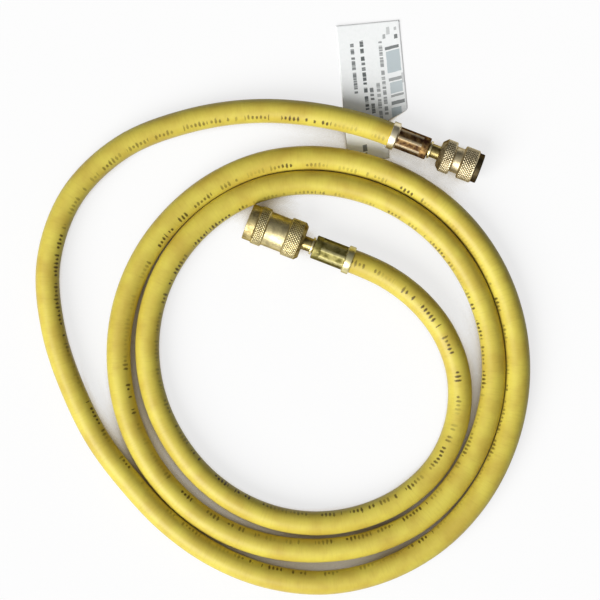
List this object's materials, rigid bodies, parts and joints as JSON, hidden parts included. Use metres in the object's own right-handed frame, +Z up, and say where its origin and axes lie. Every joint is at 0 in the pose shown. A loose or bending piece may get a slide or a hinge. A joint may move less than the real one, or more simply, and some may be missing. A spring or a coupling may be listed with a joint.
{
  "type": "refrigerant charging hose",
  "caption": "Yellow refrigerant charging hose lying in a loose flat coil, with crimped ferrules, knurled brass swivel nuts for flare fittings and a paper tag.",
  "frame": {"origin": "on the floor below the middle of the coiled hose's bounding box", "axes": "+X the way the outer fitting's mouth faces and along both fittings' axes, +Z up from the floor that the coil lies on"},
  "size_m": [0.2451, 0.2748, 0.0186],
  "materials": {
    "hose_cover": "yellow, slightly glossy, with fine crosswise marks",
    "nut_brass": "turned and knurled, slightly tarnished",
    "ferrule_brass": "crimped, dull olive and brown",
    "gasket_rubber": "matt black",
    "label_paper": "smooth white with grey bars"
  },
  "bodies": {
    "hose": {"hose": "hose_cover", "outer_ferrule": "ferrule_brass", "outer_stem": "nut_brass", "outer_gasket": "gasket_rubber", "inner_ferrule": "ferrule_brass", "inner_stem": "nut_brass", "inner_gasket": "gasket_rubber", "core_depressor": "nut_brass", "label": "label_paper"},
    "outer_nut": {"outer_nut": "nut_brass"},
    "inner_nut": {"inner_nut": "nut_brass"}
  },
  "joints": [
    {"name": "outer_nut_swivel", "type": "hinge", "parent": "hose", "child": "outer_nut", "pos_m": [0.0481, 0.0845, 0.008], "axis": [1, 0, 0], "continuous": true},
    {"name": "inner_nut_swivel", "type": "hinge", "parent": "hose", "child": "inner_nut", "pos_m": [-0.0207, 0.022, 0.0093], "axis": [-1, 0, 0], "continuous": true}
  ]
}
